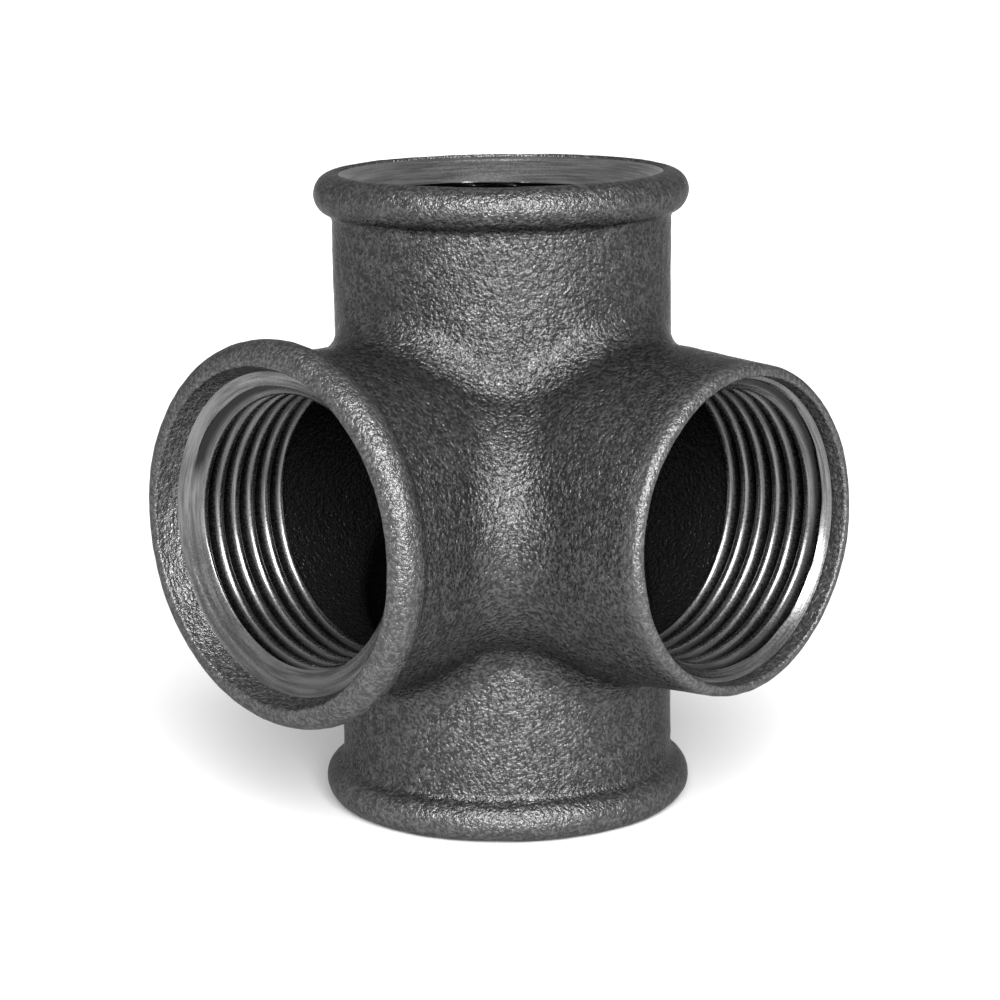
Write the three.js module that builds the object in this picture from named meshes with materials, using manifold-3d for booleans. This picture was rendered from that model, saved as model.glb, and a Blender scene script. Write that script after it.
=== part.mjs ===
// Side-outlet tee in black malleable iron, 1 inch pipe thread (Rp 1) in all four mouths.
//
// The real fitting is one hollow casting, tapped at its mouths. Here it is five regions of that
// casting, each a closed solid, which meet face to face on flat planes: a hollow hub with a closed
// back, and four threaded sockets. Top and bottom sockets share the upright run, and the two side
// sockets leave the front of the hub at a right angle to each other.
//
// Millimetres, +Z up along the run. The side outlets point along -Y and +X. The origin lies on the
// plane that the bottom mouth stands on, under the middle of the whole fitting's footprint.

import * as THREE from "three";
import * as BufferGeometryUtils from "three/addons/utils/BufferGeometryUtils.js";
import Module from "manifold-3d";

const wasm = await Module();
wasm.setup();

// Driving dimensions.
const centreToFace = 37;
const neckRadius = 19.4;
const beadRadius = 21.5;
const beadTubeRadius = 2.4;
const beadFootFillet = 1;
const plainRimRadius = 18;
const plainEdgeRounding = 0.6;
const cavityRadius = 16.2;
const filletRadius = 3.5;

// ISO 7 parallel internal thread, size 1: radii at the crests and roots, and the pitch.
const threadMinorRadius = 15.146;
const threadMajorRadius = 16.62;
const threadPitch = 2.309;
const firstCrestDepth = 4.25;
const socketCrests = 5;
const hubCrests = 1;

// Where each mouth's flat rim ends and its countersink begins.
const beadedRimInner = 18.5;
const beadedCountersinkDepth = 1.9;
const plainRimInner = 16.9;
const plainCountersinkDepth = 1.6;

// Facets.
const roundSegments = 40;
const beadArcSteps = 3;
const filletArcSteps = 2;

// Worked out from the driving dimensions.
const socketLength = firstCrestDepth + (socketCrests - 1) * threadPitch;
const hubReach = centreToFace - socketLength;
const beadCentreRadius = beadRadius - beadTubeRadius;
const beadFootRadius = neckRadius + beadFootFillet;
const beadToFoot = beadTubeRadius + beadFootFillet;
const beadFootDepth =
  beadTubeRadius + Math.sqrt(beadToFoot ** 2 - (beadFootRadius - beadCentreRadius) ** 2);

const castIron = { color: 0x35363a, roughness: 0.6, metalness: 0.75 };

// Points of a circular arc in a profile, from one angle to the other, both ends included.
function arc(centreRadius, centreDepth, radius, fromAngle, toAngle, steps) {
  const points = [];
  for (let step = 0; step <= steps; step += 1) {
    const angle = fromAngle + ((toAngle - fromAngle) * step) / steps;
    points.push([centreRadius + radius * Math.cos(angle), centreDepth + radius * Math.sin(angle)]);
  }
  return points;
}

// Thread flanks as alternate crests and roots, from the first named crest, going deeper.
function threadPoints(firstCrest, crests) {
  const points = [];
  for (let crest = firstCrest; crest < firstCrest + crests; crest += 1) {
    const crestDepth = firstCrestDepth + crest * threadPitch;
    points.push([threadMajorRadius, crestDepth - threadPitch / 2]);
    points.push([threadMinorRadius, crestDepth]);
  }
  return points;
}

// Outer side of a beaded mouth: half-round bead, then its foot fillet, down to the neck.
function beadedOutside() {
  const footAngle = Math.asin((beadFootDepth - beadTubeRadius) / beadToFoot);
  const beadPart = (from, to) =>
    arc(beadCentreRadius, beadTubeRadius, beadTubeRadius, from, to, beadArcSteps);
  const upperBead = beadPart(-Math.PI / 2, 0);
  const lowerBead = beadPart(0, footAngle);
  const foot = arc(
    beadFootRadius, beadFootDepth, beadFootFillet, Math.PI + footAngle, Math.PI, filletArcSteps,
  );
  return [...upperBead, ...lowerBead.slice(1), ...foot.slice(1), [neckRadius, socketLength]];
}

// Outer side of the plain mouth: a rounded edge, then a taper that widens to the neck.
function plainOutside() {
  const edge = arc(
    plainRimRadius - plainEdgeRounding, plainEdgeRounding, plainEdgeRounding,
    -Math.PI / 2, 0, filletArcSteps,
  );
  return [...edge, [neckRadius, socketLength]];
}

// A closed ring profile in radius and depth below the face, turned about the mouth's axis.
// The solid stands with its face at centreToFace on +Z.
function socketSolid(outside, rimInner, countersinkDepth) {
  const inside = [
    [rimInner, 0],
    [threadMajorRadius, countersinkDepth],
    ...threadPoints(0, socketCrests),
  ];
  const profile = [...outside, ...inside.reverse()];
  return turned(profile.map(([radius, depth]) => [radius, centreToFace - depth]), true);
}

// Lathe about +Z of [radius, height] points. A ring closes on its own first point.
function turned(points, isRing) {
  const outline = points.map(([radius, height]) => new THREE.Vector2(radius, height));
  if (isRing) outline.push(outline[0].clone());
  const geometry = new THREE.LatheGeometry(outline.reverse(), roundSegments);
  geometry.rotateX(Math.PI / 2);
  return toSolid(geometry);
}

// Solid round bar about +Z.
function bar(radius, low, high) {
  return turned([[0, high], [radius, high], [radius, low], [0, low]], false);
}

// Solid from a closed geometry, turned the right way out.
function toSolid(geometry) {
  geometry.deleteAttribute("normal");
  geometry.deleteAttribute("uv");
  const merged = BufferGeometryUtils.mergeVertices(geometry, 1e-4);
  const vertProperties = merged.attributes.position.array;
  const triVerts = Uint32Array.from(merged.index.array);
  const mesh = new wasm.Mesh({ numProp: 3, vertProperties, triVerts });
  return new wasm.Manifold(mesh);
}

function toGeometry(solid) {
  const mesh = solid.getMesh();
  const geometry = new THREE.BufferGeometry();
  geometry.setAttribute("position", new THREE.BufferAttribute(mesh.vertProperties, 3));
  geometry.setIndex(new THREE.BufferAttribute(mesh.triVerts, 1));
  geometry.computeVertexNormals();
  return geometry;
}

// Directions of the four mouths, as turns in degrees about X, Y and Z that carry +Z onto them.
const mouths = {
  top: [0, 0, 0],
  bottom: [180, 0, 0],
  left: [90, 0, 0],
  right: [0, 90, 0],
};

// Chamfer that stands for the fillet where the upright neck runs into the left-hand one:
// a block across the crease, trimmed to an ellipse that follows the crease.
function creaseWeb() {
  const cornerReach = neckRadius * Math.SQRT2;
  const rise = filletRadius * (Math.SQRT2 - 1);
  const blockWidth = neckRadius * 1.75;
  const blockThickness = rise * 4;
  const block = new THREE.BoxGeometry(blockWidth, blockThickness, cornerReach);
  block.translate(0, 0, cornerReach * 0.7);
  const trim = bar(neckRadius, -cornerReach, cornerReach)
    .scale([1, (cornerReach + rise) / neckRadius, 1])
    .rotate([90, 0, 0]);
  return toSolid(block).intersect(trim).rotate([45, 0, 0]);
}

// What the tap and the core take out of the hub along one mouth, from its flat end to the middle.
function mouthCut() {
  const runOut = cavityRadius - threadMinorRadius;
  const thread = threadPoints(socketCrests, hubCrests);
  const lastCrestDepth = thread.at(-1)[1];
  const wall = [
    [threadMinorRadius, socketLength - 1],
    [threadMinorRadius, socketLength],
    ...thread,
    [cavityRadius, lastCrestDepth + runOut],
    [cavityRadius, centreToFace],
  ];
  const profile = [[0, socketLength - 1], ...wall, [0, centreToFace]];
  return turned(profile.map(([radius, depth]) => [radius, centreToFace - depth]), false);
}

// Hollow middle of the casting, closed at the back.
function hubSolid() {
  const branch = bar(neckRadius, 0, hubReach);
  const web = creaseWeb();
  const creaseTurns = [[0, 0, 0], [90, 0, 0], [0, 0, 90], [90, 0, 90], [0, 90, 0]];
  const added = [
    branch.rotate(mouths.left),
    branch.rotate(mouths.right),
    ...creaseTurns.map((turn) => web.rotate(turn)),
  ];
  const run = bar(neckRadius, -hubReach, hubReach);
  const outside = added.reduce((whole, piece) => whole.add(piece), run);
  const cut = mouthCut();
  return Object.values(mouths).reduce((whole, turn) => whole.subtract(cut.rotate(turn)), outside);
}

function namedMesh(name, solid) {
  const mesh = new THREE.Mesh(toGeometry(solid), new THREE.MeshStandardMaterial(castIron));
  mesh.name = name;
  return mesh;
}

const beadedSocket = socketSolid(beadedOutside(), beadedRimInner, beadedCountersinkDepth);
const plainSocket = socketSolid(plainOutside(), plainRimInner, plainCountersinkDepth);

const fitting = new THREE.Group();
fitting.add(namedMesh("hub", hubSolid()));
fitting.add(namedMesh("top_socket", beadedSocket.rotate(mouths.top)));
fitting.add(namedMesh("bottom_socket", beadedSocket.rotate(mouths.bottom)));
fitting.add(namedMesh("left_socket", beadedSocket.rotate(mouths.left)));
fitting.add(namedMesh("right_socket", plainSocket.rotate(mouths.right)));

// From the crossing of the axes to the origin under the middle of the footprint.
const footprintOffset = (centreToFace - beadRadius) / 2;
fitting.position.set(-footprintOffset, footprintOffset, centreToFace);

export default fitting;
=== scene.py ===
"""Looks of a black malleable-iron side-outlet tee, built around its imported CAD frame.

The fitting is one casting with four tapped mouths. Each visual piece is a closed solid in metres:
a hollow hub, a cast socket for each mouth, and the machined ring that holds that mouth's
countersink and pipe thread. Shapes are worked out in millimetres from the crossing of the axes.
"""

import math

import bmesh
import bpy
import numpy as np
from mathutils import Matrix, Vector, noise


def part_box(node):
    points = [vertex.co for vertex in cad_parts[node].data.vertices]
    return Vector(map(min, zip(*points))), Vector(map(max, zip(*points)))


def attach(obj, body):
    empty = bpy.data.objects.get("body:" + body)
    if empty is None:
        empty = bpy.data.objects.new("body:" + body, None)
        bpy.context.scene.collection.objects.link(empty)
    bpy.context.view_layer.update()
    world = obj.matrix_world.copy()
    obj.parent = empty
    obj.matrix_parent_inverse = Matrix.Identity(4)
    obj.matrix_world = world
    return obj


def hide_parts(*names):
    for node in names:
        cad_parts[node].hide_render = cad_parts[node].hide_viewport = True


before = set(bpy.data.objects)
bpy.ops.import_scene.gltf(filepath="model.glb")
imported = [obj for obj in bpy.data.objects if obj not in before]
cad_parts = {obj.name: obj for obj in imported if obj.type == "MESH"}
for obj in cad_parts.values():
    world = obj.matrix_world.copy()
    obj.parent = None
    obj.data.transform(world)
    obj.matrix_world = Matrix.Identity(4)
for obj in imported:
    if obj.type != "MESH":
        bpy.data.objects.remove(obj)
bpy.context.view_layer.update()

MM = 0.001


def measured(node):
    """Lowest and highest corner of a CAD node, in millimetres."""
    low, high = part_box(node)
    return np.array(low) / MM, np.array(high) / MM


# Sizes read from the frame, in millimetres.
TOP_LOW, TOP_HIGH = measured("top_socket")
HUB_LOW, HUB_HIGH = measured("hub")
CROSSING = np.array([
    (TOP_LOW[0] + TOP_HIGH[0]) / 2,
    (TOP_LOW[1] + TOP_HIGH[1]) / 2,
    (HUB_LOW[2] + HUB_HIGH[2]) / 2,
])
FACE = TOP_HIGH[2] - CROSSING[2]
HUB_REACH = HUB_HIGH[2] - CROSSING[2]
BEAD_RADIUS = (TOP_HIGH[0] - TOP_LOW[0]) / 2
NECK_RADIUS = CROSSING[0] - HUB_LOW[0]
SOCKET_LENGTH = FACE - HUB_REACH

# Casting, in millimetres. A bead is a round of BEAD_TUBE that meets its neck in a hollow of
# BEAD_FOOT. PLAIN_ is the mouth without a bead, and CAVITY_ is the cored room inside the hub.
BEAD_TUBE = 2.4
BEAD_FOOT = 1.0
PLAIN_NECK_RADIUS = 19.05
PLAIN_RIM_RADIUS = 18.25
PLAIN_EDGE = 1.0
LIP_ROUNDING = 0.35
CAVITY_RADIUS = 16.2
NECK_FILLET = 4.2
FRONT_FILLET = 6.5
CAVITY_FILLET = 1.5
RUBBED_FADE = 1.2
# How far, in millimetres from the cored room, the painted shade inside the hub reaches.
HOLLOW_SHADE_REACH = 2.0
CUT_OVERLAP = 2
CUT_FAR = 60
PLAIN_TAPER = (PLAIN_NECK_RADIUS - PLAIN_RIM_RADIUS) / (SOCKET_LENGTH - PLAIN_EDGE)
OUTER_SHAPE = ((NECK_RADIUS, NECK_RADIUS, PLAIN_NECK_RADIUS), NECK_FILLET, FRONT_FILLET)
CAVITY_SHAPE = ((CAVITY_RADIUS,) * 3, CAVITY_FILLET, CAVITY_FILLET)

# Pipe thread, size 1, Whitworth flanks, in millimetres. A tap leaves the crests well rounded.
THREAD_MINOR = 15.146
THREAD_MAJOR = 16.62
THREAD_PITCH = 2.309
CREST_ROUNDING = 0.6
THREAD_HALF_FLANK = math.radians(62.5)
THREAD_END = SOCKET_LENGTH + 2.4
THREAD_RUN_OUT = 0.8
RING_RADIUS = 17.3
RING_END = THREAD_END + THREAD_RUN_OUT

# Marks of the tools, in millimetres: a groove and a ridge just inside the countersink's edge, each
# (distance from the edge, rise in radius), and how far the polish reaches from a crest.
TOOL_GROOVE = (0.12, 0.1)
TOOL_RIDGE = (0.42, -0.06)
TOOL_MARK_WIDTH = 0.1
POLISH_REACH = 0.76
POLISH_FADE = 0.32
FACING_FADE = 0.15

# Relief of the cast skin, in millimetres: how far it stands off and the size of its features.
RELIEF = ((0.10, 9.0), (0.045, 2.8), (0.035, 1.2))

# Mesh: points around a mouth, spacings in millimetres, and the fineness of the hub's two balls.
AROUND = 320
ANGLES = np.arange(AROUND) * 2 * math.pi / AROUND
ALONG_CAST = 0.34
ALONG_ROUNDING = 0.1
ALONG_THREAD = 0.11
HUB_SUBDIVISIONS = 7
CAVITY_SUBDIVISIONS = 6

# Search for the hub's surface along each ray: where it starts, in millimetres, and its passes.
RAY_NEAR = 5.0
RAY_FAR = 90.0
RAY_HALVINGS = 45
FILLET_PASSES = 12

# Each mouth: the turn that carries +Z onto its axis, whether it is beaded, the circle where its
# machined countersink starts (radius and depth), the depth where that cone reaches the thread's
# crests, the depth of a crest on the mouth's own X axis, and how bright its rim is rubbed and
# down to what depth.
MOUTHS = {
    "top": {
        "turn": Matrix.Identity(3), "beaded": True,
        "edge": (18.65, 0.12), "cone_end": 3.9, "crest": 3.24, "rubbed": (0.3, 5.5),
    },
    "bottom": {
        "turn": Matrix.Rotation(math.pi, 3, "X"), "beaded": True,
        "edge": (18.2, 1.4), "cone_end": 3.9, "crest": 4.25, "rubbed": (0.4, 5.5),
    },
    "left": {
        "turn": Matrix.Rotation(math.pi / 2, 3, "X"), "beaded": True,
        "edge": (18.0, 2.5), "cone_end": 4.1, "crest": 3.17, "rubbed": (0.55, 5.5),
    },
    "right": {
        "turn": Matrix.Rotation(math.pi / 2, 3, "Y"), "beaded": False,
        "edge": (16.85, 1.8), "cone_end": 3.8, "crest": 4.82, "rubbed": (0.8, 2.5),
    },
}


# ---------------------------------------------------------------- shapes

def noise_at(points, size, seed):
    """Smooth noise of one feature size in millimetres, from about -1 to 1."""
    offset = Vector((31.7 * seed, -17.9 * seed, 7.3 * seed))
    return np.array([noise.noise(Vector(p) / size + offset) for p in points.tolist()])


def cast_relief(points):
    """How far a sand-cast skin stands off its nominal surface, in millimetres."""
    return sum(
        height * noise_at(points, size, seed) for seed, (height, size) in enumerate(RELIEF, start=1)
    )


def new_piece(name, vertices_mm, faces):
    """Object from points in millimetres about the crossing, placed in the row frame in metres."""
    mesh = bpy.data.meshes.new(name)
    placed = (np.asarray(vertices_mm) + CROSSING) * MM
    mesh.from_pydata(placed.tolist(), [], faces)
    mesh.validate()
    piece = bpy.data.objects.new(name, mesh)
    bpy.context.scene.collection.objects.link(piece)
    return piece


def points_of(piece):
    """A piece's vertices in millimetres about the crossing."""
    return np.array([vertex.co for vertex in piece.data.vertices]) / MM - CROSSING


def smooth(piece, angle=40.0):
    """Shades a piece smooth, but for edges sharper than the angle in degrees."""
    piece.data.shade_smooth()
    piece.data.set_sharp_from_angle(angle=math.radians(angle))


def torus_faces(rows, columns):
    """Quads of a grid that closes on itself both ways."""
    faces = []
    for row in range(rows):
        here = row * columns
        there = ((row + 1) % rows) * columns
        for column in range(columns):
            after = (column + 1) % columns
            faces.append((here + column, here + after, there + after, there + column))
    return faces


def arc(centre, radii, start, end, spacing=ALONG_CAST):
    """Points of an elliptic arc in a (radius, depth) profile, both ends included."""
    steps = max(2, math.ceil(max(radii) * abs(end - start) / spacing))
    angles = np.linspace(start, end, steps + 1)
    return np.column_stack((
        centre[0] + radii[0] * np.cos(angles),
        centre[1] + radii[1] * np.sin(angles),
    ))


def line(start, end, spacing=ALONG_CAST):
    """Points of a straight stretch of profile, both ends included."""
    start, end = np.array(start, float), np.array(end, float)
    steps = max(1, math.ceil(np.linalg.norm(end - start) / spacing))
    return start + (end - start) * np.linspace(0, 1, steps + 1)[:, None]


def chained(*stretches):
    """Stretches of profile end to end, without repeating the shared points."""
    return np.vstack([stretches[0]] + [stretch[1:] for stretch in stretches[1:]])


def lip(edge, crown_radius):
    """Cast lip: a steep cone from the countersink's edge, rounded over into the rim's crown."""
    rounding = min(LIP_ROUNDING, 0.8 * edge[1], 0.8 * (crown_radius - edge[0]))
    centre = (crown_radius, rounding)
    top = arc(centre, (rounding, rounding), math.pi, math.pi * 1.5, ALONG_ROUNDING)
    return chained(line(edge, top[0]), top)


def beaded_outside():
    """Cast profile of a beaded mouth, from the crown of its rim out and down to the hub."""
    crown = BEAD_RADIUS - BEAD_TUBE
    foot_radius = NECK_RADIUS + BEAD_FOOT
    reach = BEAD_TUBE + BEAD_FOOT
    foot_depth = BEAD_TUBE + math.sqrt(reach ** 2 - (foot_radius - crown) ** 2)
    foot_angle = math.asin((foot_depth - BEAD_TUBE) / reach)
    bead = arc((crown, BEAD_TUBE), (BEAD_TUBE, BEAD_TUBE), -math.pi / 2, foot_angle)
    foot = arc((foot_radius, foot_depth), (BEAD_FOOT, BEAD_FOOT), math.pi + foot_angle, math.pi)
    neck = line(foot[-1], (NECK_RADIUS, SOCKET_LENGTH))
    return chained(bead, foot, neck)


def plain_outside():
    """Cast profile of the plain mouth: rounded edge and a taper that widens to the hub."""
    crown = PLAIN_RIM_RADIUS - PLAIN_EDGE
    centre = (crown, PLAIN_EDGE)
    edge_round = arc(centre, (PLAIN_EDGE, PLAIN_EDGE), -math.pi / 2, 0, ALONG_ROUNDING)
    taper = line(edge_round[-1], (PLAIN_NECK_RADIUS, SOCKET_LENGTH))
    return chained(edge_round, taper)


def profile_normals(profile):
    """Unit normals, away from the iron, of a profile that runs over the rim and down to the hub."""
    tangent = np.gradient(profile, axis=0)
    normal = np.column_stack((tangent[:, 1], -tangent[:, 0]))
    return normal / np.linalg.norm(normal, axis=1)[:, None]


def turned(profile_radius, profile_depth, turn):
    """Grid of points, one row for each profile point, about a mouth's axis."""
    radius = np.broadcast_to(profile_radius, (len(profile_depth), AROUND))
    height = FACE - np.broadcast_to(profile_depth, (len(profile_depth), AROUND))
    local = np.stack((radius * np.cos(ANGLES), radius * np.sin(ANGLES), height), axis=-1)
    return local.reshape(-1, 3) @ np.array(turn).T


def closed_ring(name, mouth, shown, end_depth, outwards):
    """Piece closed behind its shown grid by a plain wall, where casting and machined ring meet.

    Its shown side faces away from the mouth's axis if outwards, and towards it if not.
    """
    wall = np.array([(RING_RADIUS, end_depth), (RING_RADIUS, mouth["cone_end"])])
    hidden = turned(wall[:, :1], wall[:, 1:], mouth["turn"])
    faces = torus_faces((len(shown) + len(hidden)) // AROUND, AROUND)
    if outwards:
        faces = [face[::-1] for face in faces]
    return new_piece(name, np.vstack((shown, hidden)), faces)


def cast_socket(name, mouth):
    """Cast wall of one mouth. Its visible side carries the cast relief, its inside is plain."""
    outside = beaded_outside() if mouth["beaded"] else plain_outside()
    inner_lip = lip(mouth["edge"], outside[0][0])
    profile = chained(inner_lip, outside)
    normals = profile_normals(profile)
    nominal = turned(profile[:, :1], profile[:, 1:], mouth["turn"])
    relief = cast_relief(nominal).reshape(len(profile), AROUND)
    relief[0] = 0
    radius = profile[:, :1] + relief * normals[:, :1]
    rise = fillet_rise(nominal, mouth).reshape(radius.shape)
    radius[len(inner_lip):] += rise[len(inner_lip):]
    depth = np.maximum(profile[:, 1:] + relief * normals[:, 1:], 0)
    shown = turned(radius, depth, mouth["turn"])
    piece = closed_ring(name, mouth, shown, SOCKET_LENGTH, True)
    amount, reach = mouth["rubbed"]
    depths = np.append(profile[:, 1], (SOCKET_LENGTH, mouth["cone_end"]))
    rubbed = amount * np.clip((reach - depths) / RUBBED_FADE, 0, 1)
    store(piece, "rubbed", np.repeat(rubbed, AROUND))
    return piece


def fillet_rise(points, mouth):
    """How far the fillets between the necks lift each point off its mouth's own surface."""
    axis = np.array(mouth["turn"])[:, 2]
    across = points - np.outer(points @ axis, axis)
    outwards = across / np.linalg.norm(across, axis=1)[:, None]
    rise = np.zeros(len(points))
    for _ in range(FILLET_PASSES):
        lifted = points + outwards * rise[:, None]
        rise += np.maximum(-body_distance(lifted, *OUTER_SHAPE, FACE - PLAIN_EDGE), 0)
    return rise


def whitworth(offset):
    """Radius of the thread at an axial distance in millimetres from the nearest crest."""
    bend = CREST_ROUNDING * math.sin(THREAD_HALF_FLANK)
    rise = CREST_ROUNDING * (1 - math.cos(THREAD_HALF_FLANK))
    drop = np.sqrt(CREST_ROUNDING ** 2 - np.minimum(offset, bend) ** 2)
    crest = THREAD_MINOR + CREST_ROUNDING - drop
    flank = THREAD_MINOR + rise + math.tan(THREAD_HALF_FLANK) * (offset - bend)
    return np.minimum(np.where(offset < bend, crest, flank), THREAD_MAJOR)


def countersink(depth, mouth):
    """Radius of the cone from a mouth's edge down to its crests, with the tool's marks."""
    edge_radius, edge_depth = mouth["edge"]
    slope = (edge_radius - THREAD_MINOR) / (mouth["cone_end"] - edge_depth)
    cone = edge_radius - slope * (depth - edge_depth)
    for distance, rise in (TOOL_GROOVE, TOOL_RIDGE):
        cone = cone + rise * np.exp(-((depth - edge_depth - distance) / TOOL_MARK_WIDTH) ** 2)
    return cone


def ring_surface(depth, mouth):
    """Radius and polish of a machined ring: countersink, right-hand helical thread and run-out."""
    turns = (depth - mouth["crest"]) / THREAD_PITCH + ANGLES / (2 * math.pi)
    offset = np.abs(turns - np.round(turns)) * THREAD_PITCH
    fade = np.clip((RING_END - depth) / THREAD_RUN_OUT, 0, 1)
    run_out = CAVITY_RADIUS - (CAVITY_RADIUS - THREAD_MINOR) * fade
    thread = whitworth(offset)
    thread = np.where(fade < 1, np.minimum(thread, CAVITY_RADIUS), thread)
    cone = countersink(depth, mouth)
    worn = np.clip((POLISH_REACH - offset) / POLISH_FADE, 0, 1)
    faced = np.clip(0.5 + (cone - thread) / FACING_FADE, 0, 1)
    polish = np.where(depth > THREAD_END, 0.0, np.maximum(worn, faced))
    return np.maximum(np.maximum(cone, thread), run_out), polish


def thread_ring(name, mouth):
    """Machined inside of one mouth."""
    depth = line((0, mouth["edge"][1]), (0, RING_END), ALONG_THREAD)[:, 1:]
    radius, polish = ring_surface(depth, mouth)
    shown = turned(radius, depth, mouth["turn"])
    piece = closed_ring(name, mouth, shown, RING_END, False)
    add_turning_coordinates(piece, mouth)
    hidden_polish = np.zeros(len(piece.data.vertices) - len(shown))
    store(piece, "polish", np.concatenate((polish.ravel(), hidden_polish)))
    return piece


def store(piece, name, values):
    """Keeps one number for each vertex, for the material to read."""
    attribute = piece.data.attributes.new(name, "FLOAT", "POINT")
    attribute.data.foreach_set("value", np.asarray(values, np.float32))


def add_turning_coordinates(piece, mouth):
    """Stores where each point sits along its mouth's axis, which the lathe's lines follow."""
    inverse = np.array(mouth["turn"].transposed())
    local = points_of(piece) @ inverse.T
    attribute = piece.data.attributes.new("turning", "FLOAT_VECTOR", "POINT")
    attribute.data.foreach_set("vector", local.astype(np.float32).ravel())


def neck_distances(points, radii):
    """Distance outside each neck, and that distance's gradient: run, left and right.

    The right neck narrows towards its mouth from where it leaves the hub.
    """
    x, y, z = points.T
    run_radius, left_radius, right_radius = radii
    radii = (run_radius, left_radius, right_radius - PLAIN_TAPER * np.maximum(x - HUB_REACH, 0))
    none = np.zeros_like(x)
    offsets = (
        np.stack((x, y, none), axis=1),
        np.stack((x, np.maximum(y, 0), z), axis=1),
        np.stack((np.minimum(x, 0), y, z), axis=1),
    )
    lengths = [np.linalg.norm(offset, axis=1) + 1e-9 for offset in offsets]
    distances = [length - radius for length, radius in zip(lengths, radii)]
    gradients = [offset / length[:, None] for offset, length in zip(offsets, lengths)]
    return distances, gradients


def filleted(first, second, fillet):
    """Union of two (distance, gradient) shapes with a round fillet along their crease."""
    (a, slope_a), (b, slope_b) = first, second
    facing = np.clip((slope_a * slope_b).sum(axis=1), 0, 1)
    apart = 1 - facing
    size = np.maximum(fillet * apart * 3 / (apart + 2), 1e-6)
    near_a = np.maximum(size - a, 0)
    near_b = np.maximum(size - b, 0)
    distance = np.maximum(size, np.minimum(a, b)) - np.hypot(near_a, near_b)
    weight_a = np.where(near_a + near_b > 0, near_a, (a <= b).astype(float))
    weight_b = np.where(near_a + near_b > 0, near_b, (b < a).astype(float))
    slope = slope_a * weight_a[:, None] + slope_b * weight_b[:, None]
    return distance, slope / (np.linalg.norm(slope, axis=1)[:, None] + 1e-9)


def body_distance(points, radii, run_fillet, front_fillet, reach):
    """Distance outside the crossing necks, cut off flat at their reach."""
    distances, gradients = neck_distances(points, radii)
    run, left, right = zip(distances, gradients)
    sides = filleted(left, right, front_fillet)
    distance, _ = filleted(run, sides, run_fillet)
    x, y, z = points.T
    ends = np.maximum(np.maximum(np.abs(z), -y), x) - reach
    return np.maximum(distance, ends)


def star_solid(name, subdivisions, relief_sign, *shape):
    """Closed solid whose surface is seen whole from the crossing, found along rays."""
    ball = bmesh.new()
    bmesh.ops.create_icosphere(ball, subdivisions=subdivisions, radius=1)
    rays = np.array([vertex.co for vertex in ball.verts])
    rays /= np.linalg.norm(rays, axis=1)[:, None]
    faces = [[vertex.index for vertex in face.verts] for face in ball.faces]
    ball.free()
    near = np.full(len(rays), RAY_NEAR)
    far = np.full(len(rays), RAY_FAR)
    for _ in range(RAY_HALVINGS):
        middle = (near + far) / 2
        outside = body_distance(rays * middle[:, None], *shape) > 0
        far = np.where(outside, middle, far)
        near = np.where(outside, near, middle)
    points = rays * near[:, None]
    normals = surface_normals(points, shape)
    return new_piece(name, points + normals * relief_sign * cast_relief(points)[:, None], faces)


def surface_normals(points, shape):
    """Outward unit normals of the implicit body, by central differences."""
    step = 0.02
    slopes = []
    for axis in range(3):
        shift = np.zeros(3)
        shift[axis] = step
        ahead = body_distance(points + shift, *shape)
        behind = body_distance(points - shift, *shape)
        slopes.append(ahead - behind)
    slopes = np.stack(slopes, axis=1)
    return slopes / (np.linalg.norm(slopes, axis=1)[:, None] + 1e-9)


def box_solid(name, low, high):
    """Closed box between two corners in millimetres about the crossing."""
    xs, ys, zs = zip(low, high)
    vertices = [(x, y, z) for x in xs for y in ys for z in zs]
    faces = [
        (0, 1, 3, 2), (4, 6, 7, 5), (0, 4, 5, 1),
        (2, 3, 7, 6), (0, 2, 6, 4), (1, 5, 7, 3),
    ]
    return new_piece(name, vertices, faces)


def recess_solid(name, turn):
    """Plug of the room that a thread ring takes inside the hub."""
    depths = np.array([[RING_END], [SOCKET_LENGTH - 1]])
    rows = turned(np.array([[RING_RADIUS]] * 2), depths, turn)
    faces = [
        (column, (column + 1) % AROUND, AROUND + (column + 1) % AROUND, AROUND + column)
        for column in range(AROUND)
    ]
    faces.append(tuple(reversed(range(AROUND))))
    faces.append(tuple(range(AROUND, 2 * AROUND)))
    return new_piece(name, rows, faces)


def combine(piece, other, operation):
    """Cuts piece with other by a boolean, applies it and removes other."""
    modifier = piece.modifiers.new(operation.lower(), "BOOLEAN")
    modifier.operation = operation
    modifier.solver = "MANIFOLD"
    modifier.object = other
    bpy.context.view_layer.update()
    depsgraph = bpy.context.evaluated_depsgraph_get()
    result = bpy.data.meshes.new_from_object(piece.evaluated_get(depsgraph))
    piece.modifiers.clear()
    old = piece.data
    piece.data = result
    result.name = piece.name
    bpy.data.meshes.remove(old)
    bpy.data.meshes.remove(other.data)


def hub():
    """Hollow middle of the casting: blended outside, cored inside, flat where sockets join."""
    past = HUB_REACH + CUT_OVERLAP
    piece = star_solid("hub_casting", HUB_SUBDIVISIONS, 1, *OUTER_SHAPE, past)
    cavity = star_solid("cavity", CAVITY_SUBDIVISIONS, -1, *CAVITY_SHAPE, past + CUT_OVERLAP)
    combine(piece, cavity, "DIFFERENCE")
    for mouth in MOUTHS.values():
        combine(piece, recess_solid("recess", mouth["turn"]), "DIFFERENCE")
    low = (-CUT_FAR, -HUB_REACH, -HUB_REACH)
    high = (HUB_REACH, CUT_FAR, HUB_REACH)
    combine(piece, box_solid("keep", low, high), "INTERSECT")
    # Painted shade: the iron next to the cored room is marked to be coloured nearly black, as the
    # hub's inside lies in shade.
    depth_in_iron = body_distance(points_of(piece), *CAVITY_SHAPE, CUT_FAR)
    store(piece, "hollow_shade", np.clip(HOLLOW_SHADE_REACH - depth_in_iron, 0, 1))
    return piece


# ---------------------------------------------------------------- materials

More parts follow.
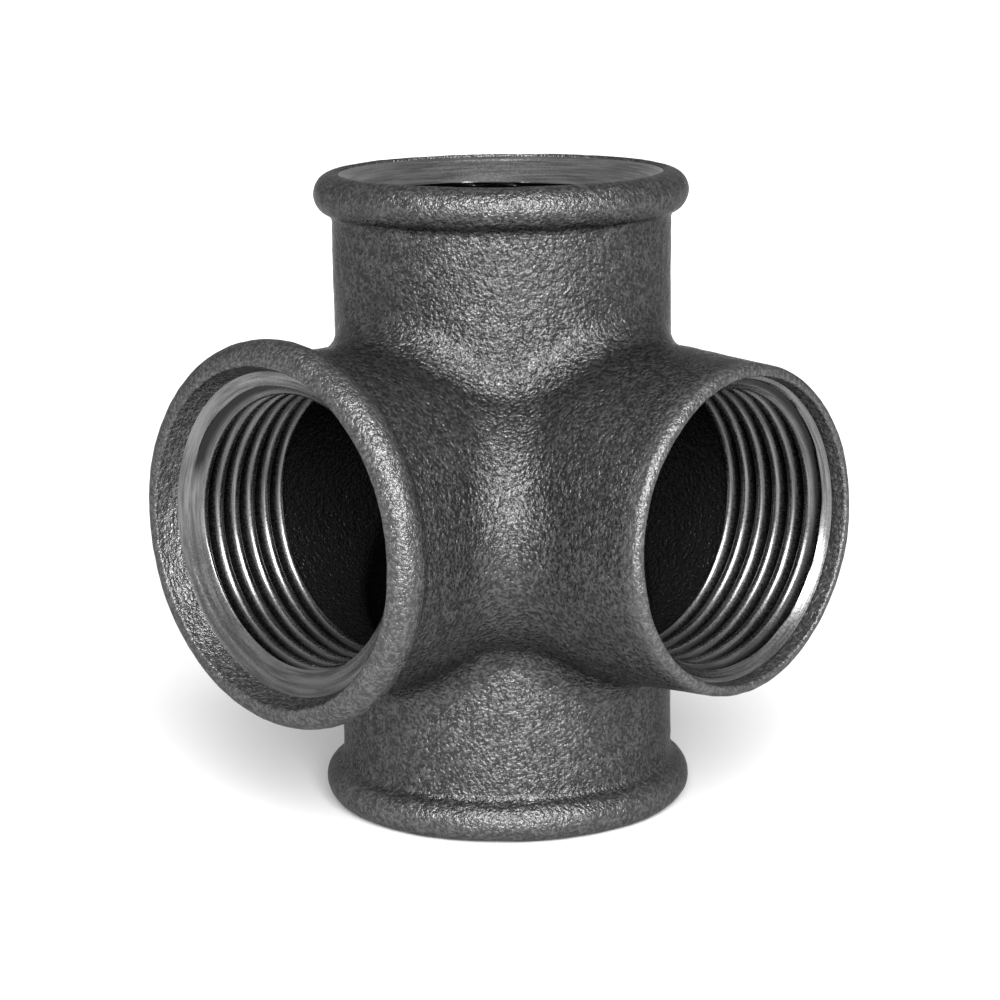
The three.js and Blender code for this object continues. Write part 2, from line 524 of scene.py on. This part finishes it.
# Cast skin: its noises in features for each metre, how much two of them add to the grain, linear
# greys from pits to peaks, and its bump in metres.
SAND_GRAIN = 2500.0
SAND_COARSE = 1000.0
SAND_FINE = 5600.0
SKIN_PATCHES = 180.0
COARSE_SHARE = 0.55
FINE_SHARE = 0.35
SKIN_GREYS = (0.045, 0.12)
RIM_GREYS = (0.1, 0.17)
PATCH_GREY = 0.055
# Linear grey of the painted shade inside the hub.
HOLLOW_SHADE_GREY = 0.025
SKIN_ROUGHNESS = (0.21, 0.36)
SKIN_METALLIC = 0.85
SKIN_TINT = 0.35
SKIN_BUMP = 0.00026
RUBBED_ROUGHENING = 0.15
RUBBED_SMOOTHING = 0.3

# Machined iron: how the turning coordinates in millimetres are stretched into lathe lines along
# them, the size of its specks, linear greys from line to line and in the thread's roots, and its
# bump in metres.
LATHE_STRETCH = (0.12, 0.12, 4.5)
SPECK_SCALE = 3.5
SPECK_SHARE = 0.2
MACHINED_GREYS = (0.11, 0.24)
ROOT_GREY = 0.03
MACHINED_ROUGHNESS = (0.25, 0.4)
MACHINED_BUMP = 0.00003

PAPER_GREY = 0.78
PAPER_ROUGHNESS = 0.9


class Nodes:
    """A material's node tree, with short ways to add a node and wire it."""

    def __init__(self, name):
        self.material = bpy.data.materials.new(name)
        self.material.use_nodes = True
        self.tree = self.material.node_tree
        self.shader = self.tree.nodes["Principled BSDF"]

    def add(self, kind, settings=None, **inputs):
        """New node. settings are its properties, and inputs go to sockets by name."""
        node = self.tree.nodes.new(kind)
        for key, value in (settings or {}).items():
            setattr(node, key, value)
        for key, value in inputs.items():
            self.feed(node.inputs[key.replace("_", " ")], value)
        return node

    def feed(self, socket, value):
        """Wires a socket to another one, or sets it to a constant."""
        if isinstance(value, bpy.types.NodeSocket):
            self.tree.links.new(value, socket)
        else:
            socket.default_value = value

    def math(self, operation, first, second=0.0):
        node = self.tree.nodes.new("ShaderNodeMath")
        node.operation = operation
        self.feed(node.inputs[0], first)
        self.feed(node.inputs[1], second)
        return node.outputs[0]

    def noise(self, vector, scale, detail=3.0, roughness=0.55):
        node = self.add(
            "ShaderNodeTexNoise", Vector=vector, Scale=scale, Detail=detail, Roughness=roughness,
        )
        return node.outputs["Fac"]

    def ramp(self, factor, low, high, low_at=0.3, high_at=0.7):
        """Factor between two places mapped smoothly onto low to high."""
        node = self.add(
            "ShaderNodeMapRange", {"interpolation_type": "SMOOTHSTEP"},
            Value=factor, From_Min=low_at, From_Max=high_at, To_Min=low, To_Max=high,
        )
        return node.outputs["Result"]

    def mix(self, factor, first, second):
        node = self.tree.nodes.new("ShaderNodeMix")
        node.data_type = "RGBA"
        self.feed(node.inputs["Factor"], factor)
        self.feed(node.inputs["A"], first)
        self.feed(node.inputs["B"], second)
        return node.outputs["Result"]

    def bump(self, height, distance, strength=1.0):
        node = self.add("ShaderNodeBump", Height=height, Distance=distance, Strength=strength)
        return node.outputs["Normal"]

    def attribute(self, name, output="Fac"):
        """What a piece stores for each vertex under a name."""
        return self.add("ShaderNodeAttribute", {"attribute_name": name}).outputs[output]

    def shaded(self, colour, roughness, normal):
        """The material, once its shader has these three."""
        self.feed(self.shader.inputs["Base Color"], colour)
        self.feed(self.shader.inputs["Roughness"], roughness)
        self.feed(self.shader.inputs["Normal"], normal)
        return self.material


def grey(level):
    """Linear grey."""
    return (level, level, level, 1.0)


def cast_iron():
    """Black as-cast skin: sand grain of a millimetre and less, paler on rubbed rims, with painted
    shade inside the hub.
    """
    nodes = Nodes("black cast iron")
    place = nodes.add("ShaderNodeTexCoord").outputs["Object"]
    hollow_shade = nodes.attribute("hollow_shade")
    rubbed = nodes.attribute("rubbed")
    grain = nodes.noise(place, SAND_GRAIN, 2.0, 0.5)
    coarse = nodes.noise(place, SAND_COARSE, 2.0, 0.5)
    fine = nodes.noise(place, SAND_FINE, 1.0, 0.5)
    patches = nodes.noise(place, SKIN_PATCHES, 3.0, 0.6)
    height = nodes.math("ADD", grain, nodes.math("MULTIPLY", coarse, COARSE_SHARE))
    height = nodes.math("ADD", height, nodes.math("MULTIPLY", fine, FINE_SHARE))
    peaks = nodes.ramp(height, 0.0, 1.0, 0.8, 1.15)
    skin = nodes.mix(peaks, *map(grey, SKIN_GREYS))
    varied = nodes.mix(nodes.ramp(patches, 0.0, 0.35, 0.35, 0.65), skin, grey(PATCH_GREY))
    rim = nodes.mix(peaks, *map(grey, RIM_GREYS))
    # Painted shade: where the hub is marked near its cored room, the skin is coloured nearly black.
    colour = nodes.mix(hollow_shade, nodes.mix(rubbed, varied, rim), grey(HOLLOW_SHADE_GREY))
    roughness = nodes.ramp(grain, *SKIN_ROUGHNESS, 0.35, 0.65)
    roughened = nodes.math("MULTIPLY", rubbed, RUBBED_ROUGHENING)
    roughness = nodes.math("ADD", roughness, roughened)
    nodes.shader.inputs["Metallic"].default_value = SKIN_METALLIC
    nodes.shader.inputs["Specular Tint"].default_value = grey(SKIN_TINT)
    strength = nodes.math("SUBTRACT", 1.0, nodes.math("MULTIPLY", rubbed, RUBBED_SMOOTHING))
    return nodes.shaded(colour, roughness, nodes.bump(height, SKIN_BUMP, strength))


def machined_iron():
    """Bare iron left by the tap and the countersink: lathe lines, bright crests, dark roots."""
    nodes = Nodes("machined iron")
    place = nodes.attribute("turning", "Vector")
    polish = nodes.attribute("polish")
    stretch = nodes.add("ShaderNodeVectorMath", {"operation": "MULTIPLY"})
    nodes.feed(stretch.inputs[0], place)
    nodes.feed(stretch.inputs[1], LATHE_STRETCH)
    lines = nodes.noise(stretch.outputs["Vector"], 1.0, 4.0, 0.7)
    specks = nodes.noise(place, SPECK_SCALE, 3.0, 0.6)
    bright = nodes.mix(nodes.ramp(lines, 0.0, 1.0, 0.35, 0.65), *map(grey, MACHINED_GREYS))
    colour = nodes.mix(polish, grey(ROOT_GREY), bright)
    roughness = nodes.ramp(specks, *MACHINED_ROUGHNESS, 0.35, 0.7)
    nodes.shader.inputs["Metallic"].default_value = 1.0
    height = nodes.math("ADD", lines, nodes.math("MULTIPLY", specks, SPECK_SHARE))
    return nodes.shaded(colour, roughness, nodes.bump(height, MACHINED_BUMP))


def white_paper():
    """Matt white sheet that the fitting stands on."""
    nodes = Nodes("white paper")
    nodes.shader.inputs["Base Color"].default_value = grey(PAPER_GREY)
    nodes.shader.inputs["Roughness"].default_value = PAPER_ROUGHNESS
    return nodes.material


# ---------------------------------------------------------------- the fitting

def dress(piece, material, slot, *nodes):
    """Gives a piece its material and hides the CAD nodes that it stands for."""
    piece.data.materials.clear()
    piece.data.materials.append(material)
    smooth(piece)
    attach(piece, "root")
    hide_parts(*nodes)


def build_fitting():
    """Hub, and for each mouth its cast socket and its machined ring."""
    cast = cast_iron()
    machined = machined_iron()
    dress(hub(), cast, "cast_skin", "hub")
    for side, mouth in MOUTHS.items():
        node = side + "_socket"
        dress(cast_socket(side + "_casting", mouth), cast, "cast_skin", node)
        dress(thread_ring(side + "_thread", mouth), machined, "machined_thread", node)


# ---------------------------------------------------------------- camera, light and floor

# The camera fitted to the photo, about the crossing. Lens and sensor are in millimetres, and the
# offsets in metres are sideways and upwards.
CAMERA_AZIMUTH = math.radians(44.43)
CAMERA_ELEVATION = math.radians(12.09)
CAMERA_ROLL = math.radians(-0.705)
CAMERA_DISTANCE = 0.34204
CAMERA_LENS = 105.28
CAMERA_SENSOR = 36.0
CAMERA_OFFSET = (-0.000524, -0.001611)

KEY_AZIMUTH = math.radians(50)
KEY_ELEVATION = math.radians(28)
KEY_ANGLE = math.radians(34)
KEY_ENERGY = 7.6

# Strength of the surroundings from low to high, and half the floor's width in metres.
SURROUNDINGS = (0.6, 0.62)
SURROUNDINGS_HEIGHTS = (0.1, 0.9)
FLOOR_HALF = 6.0


def direction(azimuth, elevation):
    """Unit vector from the crossing towards a viewer, who at azimuth 0 looks along +Y."""
    return Vector((
        math.sin(azimuth) * math.cos(elevation),
        -math.cos(azimuth) * math.cos(elevation),
        math.sin(elevation),
    ))


def add_camera():
    """Camera of the photo."""
    back = direction(CAMERA_AZIMUTH, CAMERA_ELEVATION)
    right = Vector((math.cos(CAMERA_AZIMUTH), math.sin(CAMERA_AZIMUTH), 0))
    axes = Matrix((right, back.cross(right), back)).transposed()
    axes = axes @ Matrix.Rotation(CAMERA_ROLL, 3, "Z")
    offset = axes @ Vector((*CAMERA_OFFSET, CAMERA_DISTANCE))
    camera = bpy.data.objects.new("camera", bpy.data.cameras.new("camera"))
    camera.data.lens = CAMERA_LENS
    camera.data.sensor_width = CAMERA_SENSOR
    camera.data.clip_start = 0.01
    camera.matrix_world = Matrix.Translation(Vector(CROSSING * MM) + offset) @ axes.to_4x4()
    bpy.context.scene.collection.objects.link(camera)
    bpy.context.scene.camera = camera


def add_key():
    """Large soft light from the front, far enough away to light the whole floor evenly."""
    light = bpy.data.lights.new("key", "SUN")
    light.angle = KEY_ANGLE
    light.energy = KEY_ENERGY
    lamp = bpy.data.objects.new("key", light)
    towards = direction(KEY_AZIMUTH, KEY_ELEVATION)
    lamp.rotation_euler = towards.to_track_quat("Z", "Y").to_euler()
    bpy.context.scene.collection.objects.link(lamp)


def add_world():
    """Pale surroundings to light the fitting, seen as plain white behind it."""
    world = bpy.data.worlds.new("studio")
    bpy.context.scene.world = world
    world.use_nodes = True
    tree = world.node_tree
    coordinates = tree.nodes.new("ShaderNodeTexCoord")
    separate = tree.nodes.new("ShaderNodeSeparateXYZ")
    height = tree.nodes.new("ShaderNodeMapRange")
    height.inputs["From Min"].default_value = SURROUNDINGS_HEIGHTS[0]
    height.inputs["From Max"].default_value = SURROUNDINGS_HEIGHTS[1]
    height.inputs["To Min"].default_value = SURROUNDINGS[0]
    height.inputs["To Max"].default_value = SURROUNDINGS[1]
    path = tree.nodes.new("ShaderNodeLightPath")
    shown = tree.nodes.new("ShaderNodeMath")
    shown.operation = "MAXIMUM"
    background = tree.nodes["Background"]
    background.inputs["Color"].default_value = (1.0, 1.0, 1.0, 1.0)
    tree.links.new(coordinates.outputs["Generated"], separate.inputs[0])
    tree.links.new(separate.outputs["Z"], height.inputs["Value"])
    tree.links.new(height.outputs["Result"], shown.inputs[0])
    tree.links.new(path.outputs["Is Camera Ray"], shown.inputs[1])
    tree.links.new(shown.outputs[0], background.inputs["Strength"])


def add_floor():
    """Level white sheet at the height of the lowest rim, wide enough to reach the horizon."""
    half = FLOOR_HALF
    corners = [(-half, -half, 0), (half, -half, 0), (half, half, 0), (-half, half, 0)]
    mesh = bpy.data.meshes.new("floor")
    mesh.from_pydata(corners, [], [(0, 1, 2, 3)])
    floor = bpy.data.objects.new("floor", mesh)
    floor.data.materials.append(white_paper())
    bpy.context.scene.collection.objects.link(floor)


def add_studio():
    """Surroundings, key light, floor and the plain view of their light."""
    add_world()
    add_key()
    add_floor()
    bpy.context.scene.view_settings.view_transform = "Standard"


add_camera()
build_fitting()
add_studio()
